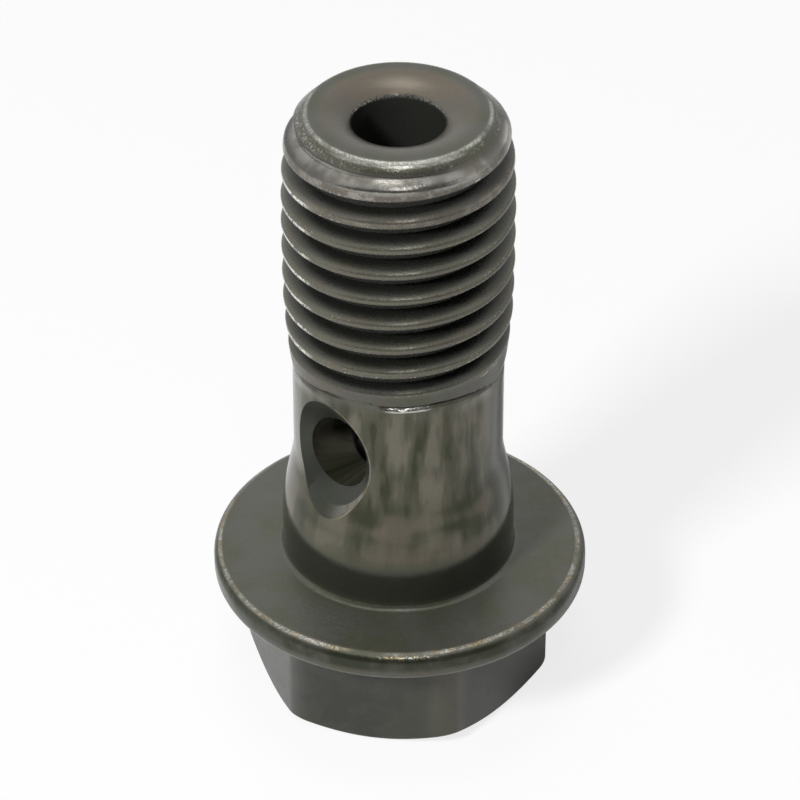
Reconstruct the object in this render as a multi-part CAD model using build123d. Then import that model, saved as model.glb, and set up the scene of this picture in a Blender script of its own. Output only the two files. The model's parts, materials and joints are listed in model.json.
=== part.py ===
from build123d import *
import math
import os

# Banjo bolt, M10 x 1.25: a hollow bolt that clamps a ring-shaped hose fitting and feeds fluid
# through it. It is one piece of steel: hexagon head, round seat flange, locating collar, waist,
# rolled thread, an axial bore from the threaded end, and a cross hole through the waist.
# Millimetres. The origin is the middle of the head's base, and +Z runs along the bolt to its
# threaded end. Azimuths turn about Z: 0 faces -Y, and positive ones turn towards +X.

# Hexagon head
head_height = 6.8                  # base of the head to the seat face of the flange
hex_across_flats = 12.0
hex_corner_radius = 1.1
hex_azimuth = 19.5                 # one corner of the hexagon
hex_cover = 0.8                    # share of the hexagon where the flange's underside ends
base_face_diameter = 11.4          # flat left by the base chamfer
base_chamfer_angle = 35.0          # measured from the base face

# Flange
flange_diameter = 16.4
flange_thickness = 1.4             # at the rim
flange_upper_edge_radius = 0.50
flange_lower_edge_radius = 0.30
rounding_steps = 2                 # short cones that turn each small quarter round
flange_underside_slope = 12.0      # degrees, falling from the rim towards the hexagon

# Collar that centres the hose fitting, and the flare up to the waist
collar_diameter = 10.1
collar_height = 2.1
collar_root_radius = 0.30
flare_shoulder_height = 1.1        # slight taper above the collar, before the flare proper
flare_shoulder_diameter = 9.90     # at its upper end
flare_height = 1.75                # from there up to the waist
flare_top_radius = 3.0

# Waist and thread
waist_diameter = 9.06
shank_length = 22.2                # seat face of the flange to the threaded end
thread_length = 12.0               # threaded end to the shoulder at the waist
thread_major_diameter = 9.8
thread_pitch = 1.25
thread_flank_angle = 30.0          # each flank from the plane across the axis
thread_depth = 0.67
thread_root_flat = 0.20
runout_diameter = 9.24             # crest where the thread meets the waist
runout_length = 2.9                # over which the crests rise to the full diameter
runout_band = 0.46                 # plain band between the shoulder and the groove's end
runout_turns = 0.5                 # over which the groove fades out
groove_start_azimuth = -90.0       # where the groove has its full depth

# Threaded end
end_face_diameter = 7.66
chamfer_height = 0.75              # 45 degrees, from the end face down
lead_length = 2.2                  # from the end face to the first crest of full diameter
end_edge_radius = 0.30
mouth_diameter = 6.6               # rounded mouth of the bore, at the end face
mouth_depth = 0.53

# Fluid passages
bore_diameter = 3.9
bore_depth = 17.4                  # end face to the end of the full diameter
drill_point_angle = 118.0
cross_hole_diameter = 3.15
cross_hole_height = 6.8            # above the seat face
cross_hole_azimuth = -42.0
countersink_diameter = 5.4         # along the bolt, at the waist's surface
countersink_angle = 110.0
countersink_offset = 0.22          # its centre above that of the hole

# Sizes that follow
seat_z = head_height
end_z = seat_z + shank_length
shoulder_z = end_z - thread_length
waist_radius = waist_diameter / 2
crest_radius = thread_major_diameter / 2
root_radius = crest_radius - thread_depth
clearance = 0.2                    # how far cutters reach past the surface that they cut


def outward(azimuth):
    """Unit direction away from the bolt's axis at an azimuth."""
    turn = math.radians(azimuth)
    return Vector(math.sin(turn), -math.cos(turn), 0)


def hexagon():
    """Head prism, with rounded corners and a conical chamfer round its base."""
    across = hex_across_flats / 2
    outline = RegularPolygon(across, 6, major_radius=False, rotation=hex_azimuth - 90)
    prism = extrude(outline, head_height - flange_thickness / 2)
    prism = fillet(prism.edges().filter_by(Axis.Z), hex_corner_radius)
    widest = across / math.cos(math.radians(30)) + clearance
    rise = (widest - base_face_diameter / 2) * math.tan(math.radians(base_chamfer_angle))
    turned = Polyline(
        (0, 0),
        (base_face_diameter / 2, 0),
        (widest, rise),
        (widest, head_height),
        (0, head_height),
        close=True,
    )
    return prism & revolve(Plane.XZ * make_face(turned), Axis.Z)


def quarter_round(level, upright):
    """Points along a quarter round, from its level face to its upright face."""
    points = []
    for step in range(rounding_steps + 1):
        turn = math.radians(90 * step / rounding_steps)
        r = level[0] + (upright[0] - level[0]) * math.sin(turn)
        z = upright[1] + (level[1] - upright[1]) * math.cos(turn)
        points.append((r, z))
    return points


def turned_body():
    """Flange, collar, flare, waist and thread blank, turned in one profile."""
    rim = flange_diameter / 2
    rim_z = seat_z - flange_thickness
    low = flange_lower_edge_radius
    high = flange_upper_edge_radius
    inner = hex_cover * hex_across_flats / 2
    fall = math.tan(math.radians(flange_underside_slope))
    inner_z = rim_z - (rim - low - inner) * fall
    underside = quarter_round((rim - low, rim_z), (rim, rim_z + low))
    upper_edge = quarter_round((rim - high, seat_z), (rim, seat_z - high))
    flange = underside + upper_edge[::-1]

    collar = collar_diameter / 2
    collar_z = seat_z + collar_height
    foot = collar_root_radius
    root = quarter_round((collar + foot, seat_z), (collar, seat_z + foot))
    flare = flare_shoulder_diameter / 2
    flare_z = collar_z + flare_shoulder_height

    runout = runout_diameter / 2
    end_face = end_face_diameter / 2
    mouth = mouth_diameter / 2
    sharp = [(0, inner_z), (inner, inner_z)] + flange + root
    rounded = [
        ((collar, collar_z), 0),
        ((flare, flare_z), 0),
        ((waist_radius, flare_z + flare_height), flare_top_radius),
        ((waist_radius, shoulder_z), 0),
        ((runout, shoulder_z + runout - waist_radius), 0),
        ((crest_radius, shoulder_z + runout_length), 0),
        ((crest_radius, end_z - lead_length), 0),
        ((end_face + chamfer_height, end_z - chamfer_height), 0),
        ((end_face, end_z), end_edge_radius),
    ]
    outside = FilletPolyline(
        sharp + [point for point, _ in rounded] + [(mouth, end_z)],
        radius=[0] * (len(sharp) - 1) + [radius for _, radius in rounded],
    )
    mouth_foot = (bore_diameter / 2, end_z - mouth_depth)
    bell = TangentArc((mouth, end_z), mouth_foot, tangent=(-1, 0))
    middle = Polyline(mouth_foot, (0, end_z - mouth_depth), (0, inner_z))
    return revolve(Plane.XZ * make_face(outside + bell + middle), Axis.Z)


def groove_section(start_z):
    """Groove's cross-section, widening outwards, on the +X side of the axis."""
    reach = thread_depth + clearance
    foot = thread_root_flat / 2
    lip = foot + reach * math.tan(math.radians(thread_flank_angle))
    plane = Plane(origin=(root_radius, 0, start_z), x_dir=(1, 0, 0), z_dir=(0, -1, 0))
    outline = Polyline((0, -foot), (reach, -lip), (reach, lip), (0, foot), close=True)
    return plane * make_face(outline)


def thread_groove():
    """Right-hand groove: its fade-out, then one cutter for each turn up to the end face."""
    fade_height = runout_turns * thread_pitch
    start_z = shoulder_z + runout_band + fade_height
    section = groove_section(start_z)
    centre = (0, 0, start_z)
    slope = math.degrees(math.atan2(thread_depth, fade_height))
    fading = Helix(
        thread_pitch / math.cos(math.radians(slope)),
        fade_height,
        root_radius,
        centre,
        direction=(0, 0, -1),
        cone_angle=slope,
    )
    cuts = [sweep(section, path=Rot(0, 0, 180) * fading, is_frenet=True)]
    whole_turn = Helix(thread_pitch, thread_pitch, root_radius, centre)
    turn = sweep(section, path=whole_turn, is_frenet=True)
    for count in range(math.ceil((end_z - start_z) / thread_pitch)):
        cuts.append(Pos(0, 0, count * thread_pitch) * turn)
    place = Rot(0, 0, groove_start_azimuth - 90)
    return [place * cut for cut in cuts]


def axial_bore():
    """Blind drilled hole from the threaded end, past the cross hole."""
    radius = bore_diameter / 2
    floor_z = end_z - bore_depth
    point = radius / math.tan(math.radians(drill_point_angle / 2))
    outline = Polyline(
        (0, floor_z - point),
        (radius, floor_z),
        (radius, end_z + clearance),
        (0, end_z + clearance),
        close=True,
    )
    return revolve(Plane.XZ * make_face(outline), Axis.Z)


def cross_hole():
    """Hole right through the waist, and the countersink at each of its ends."""
    reach = collar_diameter / 2 + clearance
    drill = Cylinder(cross_hole_diameter / 2, 2 * reach)
    spread = math.tan(math.radians(countersink_angle / 2))
    point = waist_radius - countersink_diameter / 2 / spread
    outline = Polyline((0, point), (0, reach), ((reach - point) * spread, reach), close=True)
    cone = revolve(Plane.XZ * make_face(outline), Axis.Z)
    centre_z = seat_z + cross_hole_height
    centre = Vector(0, 0, centre_z)
    cuts = [Plane(origin=centre, z_dir=outward(cross_hole_azimuth)) * drill]
    centre = Vector(0, 0, centre_z + countersink_offset)
    for azimuth in (cross_hole_azimuth, cross_hole_azimuth + 180):
        cuts.append(Plane(origin=centre, z_dir=outward(azimuth)) * cone)
    return cuts


def banjo_bolt():
    """The whole bolt, as one solid."""
    bolt = turned_body() + hexagon()
    for cut in thread_groove():
        bolt = bolt - cut
    bolt = bolt - axial_bore()
    for cut in cross_hole():
        bolt = bolt - cut
    return bolt


os.makedirs("parts", exist_ok=True)
bolt = banjo_bolt()
export_step(bolt, "parts/banjo_bolt.step")
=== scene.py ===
import json
import math

import bpy
import numpy as np
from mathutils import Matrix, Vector


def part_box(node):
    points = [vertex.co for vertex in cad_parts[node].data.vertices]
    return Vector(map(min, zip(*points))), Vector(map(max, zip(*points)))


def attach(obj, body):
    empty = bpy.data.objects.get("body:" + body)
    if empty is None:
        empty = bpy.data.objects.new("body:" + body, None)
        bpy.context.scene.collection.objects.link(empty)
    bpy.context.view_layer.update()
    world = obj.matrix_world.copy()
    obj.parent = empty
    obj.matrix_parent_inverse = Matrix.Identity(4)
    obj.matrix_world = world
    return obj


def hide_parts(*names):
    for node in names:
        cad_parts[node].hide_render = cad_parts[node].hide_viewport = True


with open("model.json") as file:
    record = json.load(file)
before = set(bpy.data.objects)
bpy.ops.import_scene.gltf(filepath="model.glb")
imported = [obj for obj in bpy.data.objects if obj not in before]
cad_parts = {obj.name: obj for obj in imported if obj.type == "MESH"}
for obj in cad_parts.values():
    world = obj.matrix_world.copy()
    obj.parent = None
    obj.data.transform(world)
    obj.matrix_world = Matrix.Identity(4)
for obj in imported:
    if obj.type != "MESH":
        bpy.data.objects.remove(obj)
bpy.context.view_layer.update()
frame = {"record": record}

# ---------------------------------------------------------------------------------------------
# Camera. A long lens stands in front of the bolt, well above it, and looks down at its middle.
mm = 0.001
lens_length = 182.4
camera_distance = 174.4 * mm
camera_elevation = math.radians(36.6)
mounts = {mount["name"]: mount for mount in frame["record"]["mounts"]}
seat_height = mounts["seat"]["pos_m"][2]
aim_height = seat_height + 7.49 * mm
frame_shift = 0.002
nearest_seen = 10 * mm

camera_back = math.cos(camera_elevation) * camera_distance
camera_height = aim_height + math.sin(camera_elevation) * camera_distance
tilt = math.pi / 2 - camera_elevation
bpy.ops.object.camera_add(location=(0, -camera_back, camera_height), rotation=(tilt, 0, 0))
camera = bpy.context.active_object
camera.data.lens = lens_length
camera.data.shift_x = frame_shift
camera.data.clip_start = nearest_seen
bpy.context.scene.camera = camera

# ---------------------------------------------------------------------------------------------
# Banjo bolt: hexagon. It is cold forged in one piece with the flange, so its upright corners are
# rounded. A cone turned on its base leaves an arc at the foot of each flat.
lowest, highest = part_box("banjo_bolt")
flats = 12.0 * mm
corner_azimuth = math.radians(19.5)
corner_setback = 0.635 * mm
base_radius = 5.7 * mm
base_chamfer = math.radians(35)
base_edge = 0.08 * mm
cone_radius = 7.5 * mm
cone_sides = 192
hexagon_shift = -0.07 * mm
hexagon_top = seat_height - 0.7 * mm
top_band = 0.5 * mm
along_axis = 0.99


def choose(piece, test, kind="FACE"):
    """Selects, in edit mode, the vertices, edges or faces for which test says yes."""
    bpy.ops.object.mode_set(mode="EDIT")
    bpy.ops.mesh.select_mode(type=kind)
    bpy.ops.mesh.select_all(action="DESELECT")
    bpy.ops.object.mode_set(mode="OBJECT")
    mesh = piece.data
    parts = {"VERT": mesh.vertices, "EDGE": mesh.edges, "FACE": mesh.polygons}[kind]
    for part in parts:
        part.select = bool(test(part))
    bpy.ops.object.mode_set(mode="EDIT")


def clear():
    """Leaves nothing selected, in object mode, before the next primitive is added."""
    if bpy.context.object and bpy.context.object.mode != "OBJECT":
        bpy.ops.object.mode_set(mode="OBJECT")
    bpy.ops.object.select_all(action="DESELECT")


def added():
    """The primitive that was just added, with its place and turn applied to its mesh."""
    bpy.ops.object.transform_apply(location=True, rotation=True, scale=True)
    return bpy.context.active_object


def only(piece):
    """Makes a piece the one that is selected and active, in object mode."""
    clear()
    piece.select_set(True)
    bpy.context.view_layer.objects.active = piece


def combine(piece, tool, how):
    """Cuts, joins or trims a piece with another one, which is used up."""
    only(piece)
    bpy.ops.object.modifier_add(type="BOOLEAN")
    step = piece.modifiers[-1]
    step.operation = how
    step.solver = "EXACT"
    step.object = tool
    bpy.ops.object.modifier_apply(modifier=step.name)
    bpy.data.objects.remove(tool)


def keep_selected(piece, test):
    """Keeps, of the edges that are selected in edit mode, those for which test says yes."""
    bpy.ops.object.mode_set(mode="OBJECT")
    for edge in piece.data.edges:
        edge.select = edge.select and bool(test(edge))
    bpy.ops.object.mode_set(mode="EDIT")


def upright(edge):
    """Whether an edge of the active piece stands along the bolt's axis."""
    mesh = bpy.context.object.data
    start, end = (mesh.vertices[v].co for v in edge.vertices)
    return abs((end - start).normalized().z) > along_axis


clear()
bpy.ops.mesh.primitive_cylinder_add(
    vertices=6,
    radius=flats / 2 / math.cos(math.radians(30)),
    depth=hexagon_top,
    location=(0, 0, hexagon_top / 2),
    rotation=(0, 0, corner_azimuth),
)
hexagon = added()
choose(hexagon, upright, "EDGE")
bpy.ops.mesh.bevel(offset=corner_setback, segments=8)

chamfer_height = (cone_radius - base_radius) * math.tan(base_chamfer)
clear()
bpy.ops.mesh.primitive_cone_add(
    vertices=cone_sides,
    radius1=base_radius,
    radius2=cone_radius,
    depth=chamfer_height,
    location=(0, 0, chamfer_height / 2),
)
base_cone = added()
choose(base_cone, lambda face: face.normal.z > along_axis)
bpy.ops.mesh.extrude_region_move(TRANSFORM_OT_translate={"value": (0, 0, hexagon_top)})
combine(hexagon, base_cone, "INTERSECT")


def near_base(edge):
    """Whether an edge of the hexagon lies round its base or where the cone meets a flat."""
    start, end = (hexagon.data.vertices[v].co for v in edge.vertices)
    return (start.z + end.z) / 2 < hexagon_top - top_band


choose(hexagon, lambda edge: False, "EDGE")
bpy.ops.mesh.edges_select_sharp(sharpness=math.radians(20))
keep_selected(hexagon, near_base)
bpy.ops.mesh.bevel(offset=base_edge, segments=3)
bpy.ops.object.mode_set(mode="OBJECT")
only(hexagon)
bpy.ops.transform.translate(value=(hexagon_shift, 0, 0))
bpy.ops.object.transform_apply(location=True, rotation=True, scale=True)

# ---------------------------------------------------------------------------------------------
# Banjo bolt: flange, collar, flare and waist. They are turned, and the bore is drilled down
# through them from the threaded end, to a little below the cross hole.
sides = 288
waist_rings = 9
flare_rings = 24
flange_radius = highest.x
flange_thickness = 1.4 * mm
rim_edge = 0.50 * mm
rim_fall = 0.12 * mm
flange_shift = 0.06 * mm
rim_foot = 0.36 * mm
underside_slope = math.radians(12)
collar_radius = 5.08 * mm
collar_fillet = 0.25 * mm
flare_start = seat_height + 1.0 * mm
flare_end = seat_height + 5.6 * mm
flare_hang = 1.5
waist_radius = 4.53 * mm
waist_top = seat_height + 9.86 * mm
bore_radius = mounts["axial_bore"]["dims"]["r_mm"] * mm
bore_floor = highest.z - 17.4 * mm
drill_point = bore_radius / math.tan(math.radians(118) / 2)
drill_tip = 0.01 * mm
hexagon_cover = 0.8


def arc(centre, radius, start, end, steps):
    """Points of a round stretch of an outline; its angles run from the outward direction up."""
    angles = np.radians(np.linspace(start, end, steps + 1))
    return [(centre[0] + radius * math.cos(a), centre[1] + radius * math.sin(a)) for a in angles]


def ease(t):
    """Goes smoothly from 0 to 1 as t does, and stays there."""
    t = np.clip(t, 0, 1)
    return t * t * (3 - 2 * t)


def turned(outline):
    """Extrudes the ring that is selected, in edit mode, from point to point of an outline."""
    for (radius, height), (next_radius, next_height) in zip(outline, outline[1:]):
        lift = (0, 0, next_height - height)
        bpy.ops.mesh.extrude_region_move(TRANSFORM_OT_translate={"value": lift})
        share = next_radius / radius
        bpy.ops.transform.resize(value=(share, share, 1), center_override=(0, 0, next_height))


def disc(radius, height):
    """A flat disc across the axis, left in edit mode and selected."""
    clear()
    bpy.ops.mesh.primitive_circle_add(
        vertices=sides, radius=radius, location=(0, 0, height), fill_type="NGON"
    )
    piece = added()
    bpy.ops.object.mode_set(mode="EDIT")
    return piece


rim_low = seat_height - flange_thickness
inner_radius = hexagon_cover * flats / 2
inner_drop = (flange_radius - rim_foot - inner_radius) * math.tan(underside_slope)
outline = [(inner_radius, rim_low - inner_drop)]
outline += arc((flange_radius - rim_foot, rim_low + rim_foot), rim_foot, -90, 0, steps=6)
rim_top = seat_height - rim_fall
outline += arc((flange_radius - rim_edge, rim_top - rim_edge), rim_edge, 0, 90, steps=9)
foot = (collar_radius + collar_fillet, seat_height + collar_fillet)
outline += arc(foot, collar_fillet, 270, 180, steps=5)
for height in np.linspace(flare_start, flare_end, flare_rings):
    progress = (height - flare_start) / (flare_end - flare_start)
    drop = (collar_radius - waist_radius) * ease(progress**flare_hang)
    outline.append((collar_radius - drop, height))
waist_heights = np.linspace(flare_end, waist_top, waist_rings)[1:]
outline += [(waist_radius, height) for height in waist_heights]
outline += [(bore_radius, height) for height in (waist_top, bore_floor)]
outline.append((drill_tip, bore_floor - drill_point))

body = disc(*outline[0])
turned(outline)
bpy.ops.mesh.select_all(action="SELECT")
bpy.ops.mesh.normals_make_consistent(inside=False)


def of_flange(vertex):
    """Whether a vertex of the bolt belongs to the flange."""
    return math.hypot(vertex.co.x, vertex.co.y) > collar_radius + 2 * collar_fillet


choose(body, of_flange, "VERT")
bpy.ops.transform.translate(value=(flange_shift, 0, 0))
combine(body, hexagon, "UNION")

# ---------------------------------------------------------------------------------------------
# Banjo bolt: cross hole. It is drilled right through the waist and countersunk at both ends.
cross_height = mounts["cross_hole"]["pos_m"][2]
cross_axis = mounts["cross_hole"]["axis"]
cross_radius = mounts["cross_hole"]["dims"]["r_mm"] * mm
countersink_radius = 2.70 * mm
countersink_spread = math.tan(math.radians(55))
countersink_lift = 0.22 * mm
countersink_point = waist_radius - countersink_radius / countersink_spread
drill_reach = 1.3 * waist_radius
hole_sides = 144

azimuth_of_hole = math.atan2(cross_axis[0], -cross_axis[1])
cone_length = drill_reach - countersink_point
clear()
bpy.ops.mesh.primitive_cylinder_add(
    vertices=hole_sides,
    radius=cross_radius,
    depth=2 * drill_reach,
    location=(0, 0, cross_height),
    rotation=(math.pi / 2, 0, azimuth_of_hole),
)
combine(body, added(), "DIFFERENCE")
for swing in (azimuth_of_hole, azimuth_of_hole + math.pi):
    middle = countersink_point + cone_length / 2
    clear()
    bpy.ops.mesh.primitive_cone_add(
        vertices=hole_sides,
        radius1=0,
        radius2=cone_length * countersink_spread,
        depth=cone_length,
        location=(
            middle * math.sin(swing),
            -middle * math.cos(swing),
            cross_height + countersink_lift,
        ),
        rotation=(math.pi / 2, 0, swing),
    )
    combine(body, added(), "DIFFERENCE")

# ---------------------------------------------------------------------------------------------
# Banjo bolt: thread. M10 x 1.25, rolled: the groove winds up a blank with a chamfered end, its
# crests are rounded and rubbed bright, and it fades out over its last half turn. Below it the
# rolling dies left a low step that wanders once round the shank.
pitch = 1.25 * mm
crest_radius = mounts["thread"]["dims"]["r_mm"] * mm
root_radius = crest_radius - 0.67 * mm
root_flat = 0.20 * mm
flank_slope = math.tan(math.radians(30))
groove_azimuth = math.radians(-90)
groove_height = seat_height + 11.32 * mm
groove_lift = 0.60 * mm
fade_turns = 0.5
end_press = 0.10 * mm
press_start = 6.9
press_turns = 1.2
first_turn = -2.25
turns = 11
strip_top = highest.z - 0.2 * mm
strip_low = waist_top + 0.02 * mm
crest_round = 0.20 * mm
half_rows = (0.0, 0.05, 0.10, 0.17, 0.26, 0.35, 0.40, 0.44, 0.475, 0.51, 0.545, 0.58, 0.625)
half_rows = np.array(half_rows) * mm
swell_depth = 0.05 * mm
swell_height = 0.6 * mm
step_edge = 0.015 * mm
least_gap = 0.045 * mm
slack = 0.02 * mm
weld = 0.001 * mm

# Blank: height over the seat and radius, in millimetres.
blank_profile = (
    (9.88, 4.54), (10.4, 4.63), (11.2, 4.725), (12.75, 4.86), (14.9, 4.9), (17.9, 4.9),
    (19, 4.87), (20, 4.82), (20.4, 4.785), (20.7, 4.755), (21.0, 4.70), (21.3, 4.64),
    (21.5, 4.53), (21.72, 4.28), (22.2, 3.83),
)
# Step under the thread: azimuth in degrees and height over the seat in millimetres.
step_line = (
    (-170, 9.98), (-90, 10.02), (-70, 10.23), (-45, 10.48), (-20, 10.61), (0, 10.55),
    (22, 10.60), (36, 10.52), (50, 10.32), (66, 10.08), (85, 9.97), (120, 9.95),
    (190, 9.98),
)
# Folded metal under the step: azimuth in degrees and the share of the fold that is there.
lap_line = (
    (-75, 0.15), (-60, 0.45), (-36, 0.45), (-27, 0.12), (-12, 0.12), (-5, 1), (28, 0.9),
    (70, 0.15),
)
# The fold: depth under the step and what it adds to the radius, in millimetres.
fold_profile = (
    (0, -0.09), (0.14, -0.09), (0.30, 0.07), (0.75, 0),
)


def blend_min(a, b, width):
    """The smaller of two radii, with the corner between them rounded over a width."""
    near = np.maximum(width - np.abs(a - b), 0) / width
    return np.minimum(a, b) - near * near * width / 4


def degrees_round(azimuth):
    """An azimuth in degrees, from -170 to 190."""
    return (np.degrees(azimuth) + 170) % 360 - 170


def read_off(pairs, place):
    """The value at a place, straight between the neighbours of a row of pairs."""
    return np.interp(place, *zip(*pairs))


def step_at(azimuth):
    """Height of the low step under the thread."""
    return seat_height + read_off(step_line, degrees_round(azimuth)) * mm


def lap_share(azimuth):
    """How far the metal under the step is folded over, from 0 to 1."""
    return read_off(lap_line, degrees_round(azimuth))


def blank_at(azimuth, height):
    """Radius of the blank before the groove is rolled into it."""
    full = read_off(blank_profile, (height - seat_height) / mm) * mm
    below = step_at(azimuth) - height
    swell = swell_depth * ease((height - waist_top) / swell_height)
    fold = lap_share(azimuth) * read_off(fold_profile, below / mm) * mm
    under = waist_radius + swell + fold
    share = np.clip(0.5 - below / step_edge / 2, 0, 1)
    return np.minimum(full, under + (full - under) * share)


rows = np.concatenate((half_rows, pitch - half_rows[-2::-1]))
columns = turns * sides
clear()
bpy.ops.mesh.primitive_grid_add(x_subdivisions=columns, y_subdivisions=len(rows) - 1, size=2)
thread = bpy.context.active_object
points = np.empty(3 * len(thread.data.vertices))
thread.data.vertices.foreach_get("co", points)
points = points.reshape(-1, 3)
column = np.rint((points[:, 0] + 1) / 2 * columns)
row = np.rint((points[:, 1] + 1) / 2 * (len(rows) - 1)).astype(int)
turn = first_turn + column / sides
azimuth = groove_azimuth + 2 * math.pi * (column % sides) / sides + 2 * math.pi * first_turn
across = rows[row]
pressed_up = end_press * ease((turn + across / pitch - press_start) / press_turns)
height = groove_height + turn * pitch + across + pressed_up
from_groove = np.minimum(across, pitch - across)
turn_of_groove = np.where(across < pitch / 2, turn, turn + 1)
fade = 1 - ease((turn_of_groove + fade_turns) / fade_turns)
groove = root_radius + fade * groove_lift + np.maximum(from_groove - root_flat / 2, 0) / flank_slope
off_step = height - step_at(azimuth)
gap = np.maximum(np.diff(rows, append=pitch + rows[1]), least_gap)[row]
for depth, _ in fold_profile[1:3]:
    off_fold = off_step + depth * mm
    height = np.where(np.abs(off_fold) < gap / 2, height - off_fold, height)
near_step = np.abs(off_step) < gap
height = np.where(near_step, height - off_step + np.sign(off_step) * step_edge, height)
height = np.where(height > strip_top - slack, strip_top, height)
height = np.where(height < strip_low + slack, strip_low, height)
radius = blend_min(blank_at(azimuth, height), groove, crest_round)
wound = np.stack((radius * np.sin(azimuth), -radius * np.cos(azimuth), height), axis=1)
thread.data.vertices.foreach_set("co", wound.ravel())
for name, value in (
    ("under_step", (step_at(azimuth) - height) / mm),
    ("lap_share", lap_share(azimuth)),
):
    attribute = thread.data.attributes.new(name, "FLOAT", "POINT")
    attribute.data.foreach_set("value", value)
bpy.ops.object.mode_set(mode="EDIT")
bpy.ops.mesh.select_all(action="SELECT")
bpy.ops.mesh.remove_doubles(threshold=weld)

# ---------------------------------------------------------------------------------------------
# Banjo bolt: threaded end. The face is turned flat, its edge is rubbed round, and a rounded mouth
# leads into the bore.
end_radius = blank_profile[-1][1] * mm
edge_round = 0.22 * mm
mouth_radius = 3.3 * mm
mouth_depth = 0.53 * mm
lip_height = 0.05 * mm
lip_set_in = 0.01 * mm
lip_step = 0.02 * mm
ring_slack = 0.1 * mm
bell_stop = math.radians(2)


def at_height(height):
    """A test for the edges of the active piece that lie level at a height."""
    mesh = bpy.context.object.data
    return lambda edge: all(abs(mesh.vertices[v].co.z - height) < weld for v in edge.vertices)


set_in = edge_round * math.tan(math.radians(45) / 2)
bell = (mouth_radius - bore_radius) ** 2 / (2 * mouth_depth) + mouth_depth / 2
bell_turn = math.degrees(math.asin((mouth_radius - bore_radius) / bell) - bell_stop)
outline = [(end_radius + highest.z - strip_top, strip_top)]
outline += arc((end_radius - set_in, highest.z - edge_round), edge_round, 45, 90, steps=6)
outline += arc((mouth_radius, highest.z - bell), bell, 90, 90 + bell_turn, steps=10)
lip_low = highest.z - mouth_depth - lip_height
outline += [(bore_radius + lip_set_in, lip_low + lip_step), (bore_radius, lip_low)]
outline.append((bore_radius, strip_low))
choose(thread, at_height(strip_top), "EDGE")
turned(outline)

only(body)
choose(body, lambda face: face.normal.z > along_axis and abs(face.center.z - waist_top) < weld)
bpy.ops.mesh.delete(type="FACE")
bpy.ops.object.mode_set(mode="OBJECT")
thread.select_set(True)
bpy.ops.object.join()


def ring_between(radius):
    """A test for the level edges, at the joint of the two halves, that lie at about a radius."""
    mesh = bpy.context.object.data

    def test(edge):
        ends = [mesh.vertices[v].co for v in edge.vertices]
        level = all(min(abs(p.z - waist_top), abs(p.z - strip_low)) < weld for p in ends)
        return level and all(abs(math.hypot(p.x, p.y) - radius) < ring_slack for p in ends)

    return test


for radius in (waist_radius, bore_radius):
    choose(body, ring_between(radius), "EDGE")
    bpy.ops.mesh.bridge_edge_loops()
bpy.ops.mesh.select_all(action="SELECT")
bpy.ops.mesh.remove_doubles(threshold=weld)
bpy.ops.mesh.normals_make_consistent(inside=False)
bpy.ops.object.mode_set(mode="OBJECT")
body.name = "banjo_bolt_body"
bpy.ops.object.shade_smooth_by_angle(angle=math.radians(35))

# ---------------------------------------------------------------------------------------------
# Banjo bolt: finish. The steel has a thin grey-olive phosphate coat under a film of oil. It is
# rubbed through to bright metal on the thread's crests, on the end's edge and round the flange,
# and turns brownish where forging and rolling left it rough. Painted shade makes it nearly black
# down in the groove, and darkens the fold under the thread, the line under the end's lip, the
# holes, the collar and the rim's side. Painted reflections lie on the waist and flare, and
# painted highlights on some edges, crests and faces.
coat = (0.088, 0.089, 0.077)
coat_olive = (0.074, 0.079, 0.054)
# Rosy tint, also used for a painted highlight above the step.
coat_rosy_and_glint = (0.112, 0.094, 0.084)
coat_brown = (0.090, 0.073, 0.054)
forged_grey = (0.046, 0.047, 0.041)
# Painted light on the hexagon's left and right faces.
hexagon_side_light = (0.130, 0.132, 0.126)
# Painted highlight on the hexagon's rounded corners at the right.
corner_highlight_brown = (0.120, 0.108, 0.080)
rim_shade_green = (0.022, 0.026, 0.014)
collar_shade_green = (0.034, 0.038, 0.030)
waist_coat = (0.062, 0.062, 0.040)
# Painted reflection colours for the waist and flare, light and dark.
waist_reflection_light = (0.136, 0.126, 0.096)
waist_shade = (0.027, 0.030, 0.014)
# Rosy tint, and painted reflections on the flare and in the mouth.
rosy_tint_and_reflection = (0.125, 0.104, 0.080)
crest_khaki = (0.120, 0.116, 0.088)
hole_shade_olive = (0.024, 0.027, 0.021)
bore_shade_dark = (0.036, 0.038, 0.032)
# Painted shade for the groove, the fold under the step and the line under the end's lip.
painted_crease_shade = (0.012, 0.013, 0.011)
bare_steel_and_glint = (0.46, 0.45, 0.41)
bare_yellow = (0.36, 0.30, 0.19)
glint_white = (0.68, 0.67, 0.62)

steel = bpy.data.materials.new("phosphated_steel")
steel.use_nodes = True


class Coat:
    """A value that changes over a surface. Arithmetic on it adds Math nodes to the tree."""

    tree = steel.node_tree

    def __init__(self, socket):
        self.socket = socket

    @classmethod
    def node(cls, kind, settings, inputs, output=0):
        """Adds a node, with its settings and what its sockets hold, and gives one output."""
        node = cls.tree.nodes.new(kind)
        for name, value in settings.items():
            setattr(node, name, value)
        for name, value in inputs.items():
            if isinstance(value, Coat):
                cls.tree.links.new(value.socket, node.inputs[name])
            else:
                node.inputs[name].default_value = value
        return cls(node.outputs[output])

    @classmethod
    def math(cls, operation, *values):
        """Adds a Math node."""
        return cls.node("ShaderNodeMath", {"operation": operation}, dict(enumerate(values)))

    def __add__(self, other):
        return self.math("ADD", self, other)

    def __sub__(self, other):
        return self.math("SUBTRACT", self, other)

    def __mul__(self, other):
        return self.math("MULTIPLY", self, other)

    def __truediv__(self, other):
        return self.math("DIVIDE", self, other)

    def __rsub__(self, other):
        return self.math("SUBTRACT", other, self)

    def __rtruediv__(self, other):
        return self.math("DIVIDE", other, self)

    __radd__ = __add__
    __rmul__ = __mul__


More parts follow.
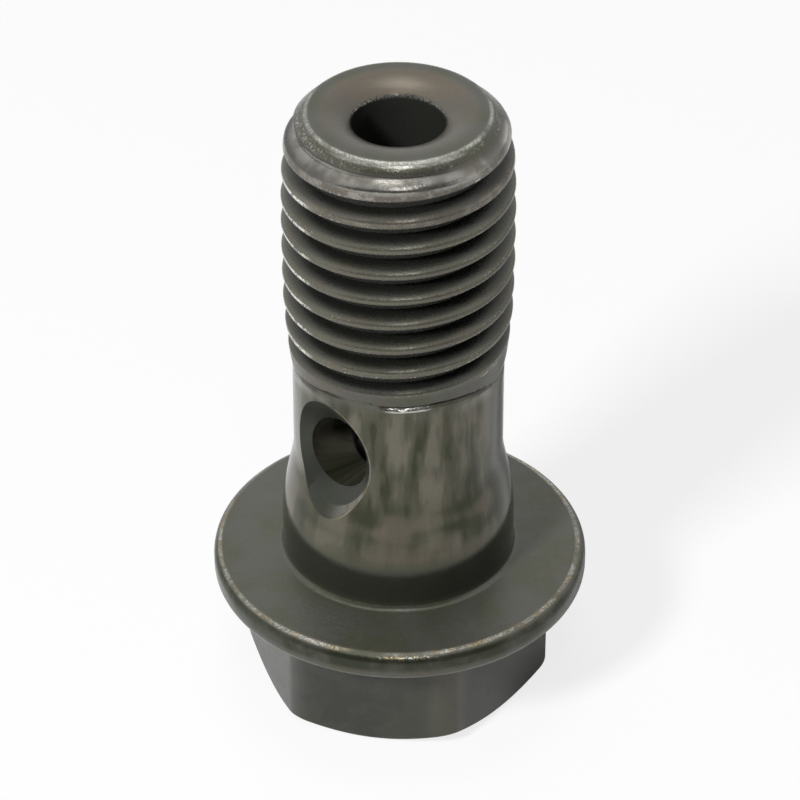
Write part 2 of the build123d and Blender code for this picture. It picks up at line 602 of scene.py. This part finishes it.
def rise(value, low, high):
    """Goes smoothly from 0 where a value is low to 1 where it is high."""
    inputs = {"Value": value, "From Min": low, "From Max": high}
    return Coat.node("ShaderNodeMapRange", {"interpolation_type": "SMOOTHSTEP"}, inputs)


def fall(value, low, high):
    """Goes smoothly from 1 where a value is low to 0 where it is high."""
    return 1 - rise(value, low, high)


def within(value, low, high, soft):
    """Is 1 between two bounds and 0 outside them, with soft edges."""
    return rise(value, low - soft, low + soft) * fall(value, high - soft, high + soft)


def line(value, centre, width):
    """Is 1 on a line, and falls to 0 at a distance from it."""
    return fall(Coat.math("ABSOLUTE", value - centre), 0, width)


def length(a, b):
    """Length of a vector with two components."""
    return Coat.math("SQRT", a * a + b * b)


def either(a, b):
    """The larger of two masks."""
    return Coat.math("MAXIMUM", a, b)


def grain(where, scale, detail, rough):
    """Noise from 0 to 1, with its features about 1/scale long."""
    inputs = {"Vector": where, "Scale": scale, "Detail": detail, "Roughness": rough}
    return Coat.node("ShaderNodeTexNoise", {}, inputs)


def vector(x, y, z):
    """Puts three values together as a place for noise."""
    return Coat.node("ShaderNodeCombineXYZ", {}, {"X": x, "Y": y, "Z": z})


def tint(factor, under, over):
    """Lays one colour over another by a factor."""
    colours = [c if isinstance(c, Coat) else (*c, 1) for c in (under, over)]
    inputs = {0: factor, 6: colours[0], 7: colours[1]}
    return Coat.node("ShaderNodeMix", {"data_type": "RGBA"}, inputs, 2)


place = Coat.node("ShaderNodeTexCoord", {}, {}, "Object")
scaled = {0: place, 3: 1 / mm}
place = Coat.node("ShaderNodeVectorMath", {"operation": "SCALE"}, scaled)
x, y, z = (Coat.node("ShaderNodeSeparateXYZ", {}, {0: place}, axis) for axis in range(3))
above = z - seat_height / mm
out = length(x, y)
angle = Coat.math("ARCTAN2", x, 0 - y)
round_x = x / out
round_y = y / out


def ring(radius, height, near, far):
    """Is 1 at a ring round the axis, at a height over the seat, and falls to 0 away from it."""
    return fall(length(out - radius, above - height), near, far)


# The countersink's cone: its gap is 0 on the cone, more outside it and less than 0 in the hole.
hole_x, hole_y = math.sin(azimuth_of_hole), -math.cos(azimuth_of_hole)
along_hole = Coat.math("ABSOLUTE", x * hole_x + y * hole_y)
off_hole = length(x * hole_y - y * hole_x, z - (cross_height + countersink_lift) / mm)
cone_gap = off_hole - (along_hole - countersink_point / mm) * countersink_spread
# One side of the cross hole, where a painted highlight runs along the countersink's rim.
hole_glint_side = rise(y * hole_x - x * hole_y, -0.2, 1.4)

# The bolt's faces, each 1 where a point is on it. All lengths here are in millimetres: above is
# the height over the seat and out is the distance from the axis.
on_end = rise(above, 21.55, 21.75) * fall(out, 3.85, 4.0)
in_bore = fall(out, 1.98, 2.06)
in_hole = fall(cone_gap, 0.01, 0.04) * within(above, 3.4, 10.3, 0.1) * rise(out, 1.97, 2.05)
on_thread = rise(above, 10.95, 11.25) * rise(out, 4.05, 4.15)
on_band = within(above, 9.9, 11.0, 0.25) * rise(out, 4.0, 4.2)
on_waist = within(above, 0.3, 10.2, 0.3) * fall(out, 5.15, 5.25) * rise(cone_gap, 0.01, 0.04)
over_collar = rise(above, 2.0, 3.0) * on_waist
on_flare = within(above, 2.8, 5.2, 0.8) * on_waist
# A band at the foot of the flare, where a painted reflection is laid.
flare_reflection_band = line(above, 2.65, 0.45) * on_waist * rise(x, -4.0, 0.5)
# A band down the right of the waist, where a painted shadow reflection darkens the coat.
painted_shadow_reflection = within(angle, 1.03, 1.32, 0.07) * over_collar
on_seat = rise(above, -0.22, -0.15) * rise(out, 5.25, 5.4) * fall(above, 0.1, 0.3)
on_rim = fall(above, -0.3, -0.2) * rise(out, 6.4, 6.8) * rise(above, -1.75, -1.65)
# The rim's side under its rounded edge, where painted shade is laid.
rim_shade = fall(above, -0.30, -0.22) * rise(above, -1.05, -0.75) * rise(out, 6.4, 6.8)
on_hexagon = fall(above, -1.75, -1.65)
# The hexagon's rounded corners at the right, where a painted highlight is laid.
on_corner = on_hexagon * rise(out, 6.30, 6.62) * rise(x, 0, 2)
on_collar = fall(above, 1.9, 2.3) * on_waist
over_mouth = on_end * fall(out, 3.1, 3.5)

# The thread: up is 0 and 1 in the middle of the groove and 0.5 on a crest, going up the bolt.
# Whole turns are added because the fraction is taken of a value that must be above 0.
whole_turns = 16
wound_up = (above - (groove_height - seat_height) / mm) / (pitch / mm) - angle / (2 * math.pi)
up = Coat.math("FRACT", wound_up + groove_azimuth / (2 * math.pi) + whole_turns)
to_end = rise(above, 18.5, 21.2)
# deep is 1 down in the groove between the crests, where painted shade is laid.
deep = Coat.math("MINIMUM", fall(up, 0.30, 0.38) + rise(up, 0.60, 0.84), 1)
deep = deep * (1 - 0.7 * rise(above, 20.9, 21.5))
crest = within(up, 0.42, 0.66, 0.06) * on_thread
crest_low = line(up, 0.41, 0.075) * on_thread
crest_high = line(up, 0.60, 0.05) * on_thread
first_ridge = within(above, 21.15, 21.66, 0.14) * on_thread * (1 - deep)

# The step below the thread: how far a point is under it, and how far the metal there is folded.
under_step = Coat.node("ShaderNodeAttribute", {"attribute_name": "under_step"}, {}, "Fac")
folded = Coat.node("ShaderNodeAttribute", {"attribute_name": "lap_share"}, {}, "Fac")
at_step = on_band * rise(folded, 0.05, 0.6)
# The fold under the step, where painted shade is laid.
in_fold = at_step * within(under_step, 0.0, 0.17, 0.02)
# Painted highlight on the lip of the fold under the step, in front.
lap_glint = at_step * within(under_step, 0.15, 0.36, 0.03) * within(x, -0.5, 1.25, 0.25)
# Painted highlight: a lighter rosy band above the step at the left.
glint_over_lap = at_step * within(under_step, -0.7, -0.1, 0.1) * fall(x, -1.9, -1.5)

# Unevenness of the coat, and noise for the painted reflections on the waist and flare. The last
# few run along the bolt, round it, or level with its base.
patches = grain(place, 0.55, 4, 0.6)
mottle = grain(place, 2.2, 5, 0.65)
fine = grain(place, 9, 3, 0.7)
speck = grain(place, 26, 2, 0.6)
rubbed = grain(vector(round_x * 2.5, round_y * 2.5, above * 0.9), 1.0, 3, 0.6)
streaks = grain(vector(round_x * 4.6 + 3, round_y * 4.6, above * 0.20), 1.0, 3, 0.55)
reflection_smears = grain(vector(round_x * 7, round_y * 7 + 5, above * 0.55), 1.0, 2, 0.5)
reflection_blotches = grain(vector(round_x * 2.4, round_y * 2.4 + 7, above * 1.1), 1.0, 0.6, 0.4)
drawn = grain(vector(round_x * 16, round_y * 16, above * 0.25), 1.0, 3, 0.6)
rings = grain(vector(out * 9, round_x * 0.5, round_y * 0.5), 1.0, 3, 0.6)
levels = grain(vector(round_x * 0.8, round_y * 0.8, above * 9), 1.0, 3, 0.6)

# Wear and painted glints, from 0 where the coat is whole to 1 where bright steel shows. Wear is on
# the edges of the end, bore, flange and countersink, and on the crests. Painted highlights are laid
# in the same way on the end's edge at the front, on the middle of the flange's edge, on one side of
# the countersink's rim, on the lip under the step, on the crests' lower edges at the sides, and as
# white glints along the crests at the far left in front.
end_edge = ring(3.83, 22.14, 0.03, 0.15)
# Painted highlight: a wider bright band on the end's edge at the front.
end_front_glint = ring(3.89, 22.09, 0.09, 0.20) * rise(0 - y, 2.6, 3.5)
end_chamfer = within(above, 21.78, 22.06, 0.05) * rise(out, 3.8, 3.9)
# A line under the end's lip at the front, where painted shade is laid.
end_lip = line(above, 21.70, 0.06) * rise(out, 4.1, 4.2) * fall(x, 1.6, 3.0) * fall(y, -1.5, -0.5)
bore_edge = ring(1.99, 21.66, 0.03, 0.12)
flange_edge = ring(7.90, -0.16, 0.05, 0.15)
# flange_glint is a painted highlight on the flange's edge across its middle.
flange_glint = ring(8.04, -0.26, 0.04, 0.12) * within(x, -0.9, 1.5, 0.4)
flange_foot = ring(8.13, -1.36, 0.05, 0.22)
hole_edge = line(cone_gap, 0.02, 0.07) * rise(out, 4.40, 4.46) * within(above, 4.0, 10.0, 0.2)
ragged = rise(fine, 0.42, 0.62)
sparkle = rise(fine, 0.54, 0.64) * rise(rubbed, 0.46, 0.60)
# Painted highlights on the crests' lower edges at the left and right sides, broken up by noise.
side_glint_zone = either(fall(x, -3.6, -1.6), rise(x, 1.4, 3.2))
glint_breakup = rise(fine, 0.47, 0.53) * rise(mottle, 0.47, 0.53) * rise(rubbed, 0.44, 0.52)
# Painted highlights: irregular white glints along the crests at the far left in front.
painted_glints = within(up, 0.37, 0.55, 0.02) * on_thread * fall(x, -4.1, -3.5) * fall(above, 19.7, 20.3)
painted_glints = painted_glints * rise(fine * 0.6 + mottle * 0.4, 0.45, 0.50) * fall(y, -0.8, 0.4)
wear_and_glints = end_edge * (0.5 + 0.5 * ragged) * rise(rubbed, 0.30, 0.55)
for worn_or_glint in (
    end_front_glint * (0.55 + 0.45 * ragged),
    end_chamfer * rise(fine, 0.52, 0.62) * rise(rubbed, 0.40, 0.52) * 0.6,
    bore_edge * ragged * 0.5,
    flange_edge * (0.35 + 0.65 * ragged) * rise(rubbed, 0.34, 0.58) * 0.9,
    flange_glint * rise(fine, 0.46, 0.60) * 0.8,
    flange_foot * rise(fine, 0.50, 0.62) * rise(rubbed, 0.40, 0.55) * 0.35,
    crest_low * sparkle,
    crest_high * sparkle * 0.6,
    crest * to_end * rise(streaks * 0.5 + mottle * 0.5, 0.47, 0.60) * 0.45,
    # Painted highlights on the crests' lower edges at the sides.
    rise(crest_low, 0.1, 0.5) * side_glint_zone * glint_breakup,
    painted_glints,
    hole_edge * hole_glint_side * 0.55,
    lap_glint * (0.85 + 0.15 * ragged),
    first_ridge * (0.22 + 0.68 * rise(rubbed, 0.36, 0.58)),
):
    wear_and_glints = either(wear_and_glints, worn_or_glint)

# Colour, laid on in layers: the coat as forged, on the rim, on the waist and its flare, on the
# thread, in the holes and at the end, then in the fold under the thread, and bare steel and painted
# glints on top. Many of the layers are painted light, painted shade or painted reflections, as
# marked.
yellowed = rise(mottle, 0.42, 0.60) * fall(above, 18, 21) * (1 - at_step)
colour = tint(rise(patches, 0.40, 0.62), coat, coat_olive)
for share, layer in (
    (rise(mottle, 0.50, 0.70) * 0.5, coat_rosy_and_glint),
    (on_hexagon * (0.65 + 0.35 * fall(patches, 0.40, 0.60)), forged_grey),
    # Painted highlight: a warm lighter band on the hexagon's corners at the right.
    (on_corner * 0.4, corner_highlight_brown),
    # Painted light: the hexagon is laid lighter towards its left and right faces.
    (on_hexagon * rise(Coat.math("ABSOLUTE", x), 3.6, 6.2) * 0.75, hexagon_side_light),
    (either(on_rim, on_band) * rise(mottle, 0.46, 0.64) * 0.6, coat_brown),
    # Painted shade: a dark green band down the rim's side.
    (rim_shade * (0.5 + 0.4 * rise(patches, 0.40, 0.60)), rim_shade_green),
    (on_waist * 0.85, waist_coat),
    # Painted shade: the collar by the flange is laid dark green-black, a painted dark reflection.
    (on_collar * 0.75, collar_shade_green),
    # Painted reflections: light and dark streaks and smears up the waist.
    (over_collar * rise(streaks, 0.49, 0.62) * 0.85, waist_reflection_light),
    (over_collar * fall(streaks, 0.38, 0.50) * 0.85, waist_shade),
    (over_collar * rise(reflection_smears, 0.48, 0.68) * 0.30, waist_reflection_light),
    (over_collar * fall(reflection_smears, 0.32, 0.50) * 0.35, waist_shade),
    # Painted shade and painted reflections on the flare: darker all over, with rosy and dark
    # patches and a rosy band at its foot.
    (on_flare * 0.30, waist_shade),
    (on_flare * rise(reflection_blotches, 0.50, 0.76) * 0.6, rosy_tint_and_reflection),
    (on_flare * fall(reflection_blotches, 0.32, 0.55) * 0.95, waist_shade),
    (flare_reflection_band * 0.35, rosy_tint_and_reflection),
    # Painted shadow reflection down the right of the waist.
    (painted_shadow_reflection * 0.8, waist_shade),
    # Painted shade: nearly black down in the groove.
    (on_thread * deep * 0.92, painted_crease_shade),
    (crest * 0.75, crest_khaki),
    (on_thread * to_end * (1 - deep) * 0.5, coat_rosy_and_glint),
    (on_thread * (1 - deep) * rise(patches, 0.46, 0.66) * 0.4, coat_rosy_and_glint),
    # Painted shade in the cross hole and its countersinks.
    (in_hole * 0.75, hole_shade_olive),
    # The mouth is tinted rosy all round, and more at its far side as a painted highlight.
    (over_mouth * (0.35 + 0.5 * rise(y, 0.5, 2.0)), rosy_tint_and_reflection),
    (end_chamfer * 0.6, coat_olive),
    # Painted shade in the fold under the step.
    (in_fold, painted_crease_shade),
    # Painted highlight above the step at the left.
    (glint_over_lap * 0.8, coat_rosy_and_glint),
    # Painted shade inside the bore.
    (in_bore, bore_shade_dark),
    (wear_and_glints, tint(yellowed, bare_steel_and_glint, bare_yellow)),
    # Painted highlights along the crests at the far left in front.
    (painted_glints, glint_white),
    # Painted shade under the end's lip.
    (end_lip * 0.9, painted_crease_shade),
):
    colour = tint(share, colour, layer)
speckled = (0.84 + 0.32 * fine) * (0.88 + 0.24 * speck)
colour = Coat.node("ShaderNodeVectorMath", {"operation": "SCALE"}, {0: colour, 3: speckled})

# Sheen: oily and smooth on the waist, dull on the turned and forged faces.
dull = 0.32 + on_end * 0.12 - on_rim * 0.08 + on_hexagon * 0.04 + in_hole * 0.04
dull = dull - on_waist * 0.19 - on_collar * 0.03 - on_thread * 0.05 - over_mouth * 0.12
dull = dull + (mottle - 0.5) * 0.14 + (fine - 0.5) * 0.10 - wear_and_glints * 0.10
metal = 0.60 - 0.10 * on_seat - 0.10 * on_end - 0.05 * on_hexagon + wear_and_glints
metal = Coat.math("MINIMUM", metal - end_lip * 0.6 - painted_glints * 0.8, 1)

# Relief, in millimetres.
relief = (fine - 0.5) * 0.008 + (speck - 0.5) * 0.003
relief = relief * (1 - on_waist * 0.6) + (mottle - 0.5) * 0.012 * (1 - on_waist * 0.8)
relief = relief + (rings - 0.5) * 0.005 * either(on_seat, on_end)
relief = relief + (levels - 0.5) * 0.003 * on_thread
relief = relief + (drawn - 0.5) * 0.002 * on_waist
relief = relief + (fine - 0.5) * 0.020 * either(flange_edge, end_edge)

bump = Coat.node("ShaderNodeBump", {}, {"Height": relief, "Distance": mm})
shader = steel.node_tree.nodes["Principled BSDF"]
links = {"Base Color": colour, "Roughness": dull, "Metallic": metal, "Normal": bump}
for name, value in links.items():
    steel.node_tree.links.new(value.socket, shader.inputs[name])
body.data.materials.append(steel)
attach(body, "root")
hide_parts("banjo_bolt")

# ---------------------------------------------------------------------------------------------
# Studio: a white paper floor in a white room that is darker behind the camera. A wide soft light
# hangs overhead, a small one in front above the camera, and the key lamp at the left in front. The
# key's own mirror image is kept off the steel.
floor_size = 4
paper_white = (0.85, 0.85, 0.85, 1)
paper_seen = 0.8
paper_mirrored = 0.04
white = (1, 1, 1, 1)
fill = 0.07
room_dark = 0.2
# Each lamp's place and width, in metres, and its power, in watts.
lamps = {
    "overhead": ((-0.03, 0.06, 0.50), 0.20, 0.50),
    "front": ((0.012, -0.24, 0.36), 0.065, 0.19),
    "key": ((-0.26, -0.31, 0.36), 0.09, 3.3),
}

clear()
bpy.ops.mesh.primitive_plane_add(size=floor_size, location=(0, 0, lowest.z))
floor = bpy.context.active_object
floor.name = "floor"


def ray_kinds():
    """Whether a camera ray, and whether a glossy ray, is being followed."""
    kinds = ("Is Camera Ray", "Is Glossy Ray")
    return [Coat.node("ShaderNodeLightPath", {}, {}, kind) for kind in kinds]


paper = bpy.data.materials.new("white_paper")
paper.use_nodes = True
Coat.tree = paper.node_tree
sheet = paper.node_tree.nodes["Principled BSDF"]
sheet.inputs["Base Color"].default_value = paper_white
sheet.inputs["Roughness"].default_value = 0.9
sheet.inputs["Specular IOR Level"].default_value = 0.1
camera_ray, glossy_ray = ray_kinds()
glow = Coat.node("ShaderNodeEmission", {}, {"Color": white, "Strength": 1})
shown = camera_ray * paper_seen + glossy_ray * paper_mirrored
mixed = Coat.node("ShaderNodeMixShader", {}, {0: shown, 1: Coat(sheet.outputs[0]), 2: glow})
paper.node_tree.links.new(mixed.socket, paper.node_tree.nodes["Material Output"].inputs[0])
floor.data.materials.append(paper)

world = bpy.data.worlds.new("studio")
bpy.context.scene.world = world
world.use_nodes = True
Coat.tree = world.node_tree
camera_ray, glossy_ray = ray_kinds()
direction = Coat.node("ShaderNodeTexCoord", {}, {}, "Generated")
forward = Coat.node("ShaderNodeSeparateXYZ", {}, {0: direction}, "Y")
room = room_dark + (1 - room_dark) * rise(forward, -0.65, -0.25)
lit = room * (fill + (1 - fill) * glossy_ray)
strength = either(camera_ray, lit)
backdrop = world.node_tree.nodes["Background"]
backdrop.inputs["Color"].default_value = white
world.node_tree.links.new(strength.socket, backdrop.inputs["Strength"])

for name, (spot, size, power) in lamps.items():
    aim = Vector((0, 0, aim_height)) - Vector(spot)
    facing = aim.to_track_quat("-Z", "Y").to_euler()
    bpy.ops.object.light_add(type="AREA", location=spot, rotation=facing)
    lamp = bpy.context.active_object
    lamp.name = name + "_lamp"
    lamp.data.size = size
    lamp.data.energy = power
    lamp.visible_glossy = name != "key"
bpy.context.scene.view_settings.view_transform = "Standard"
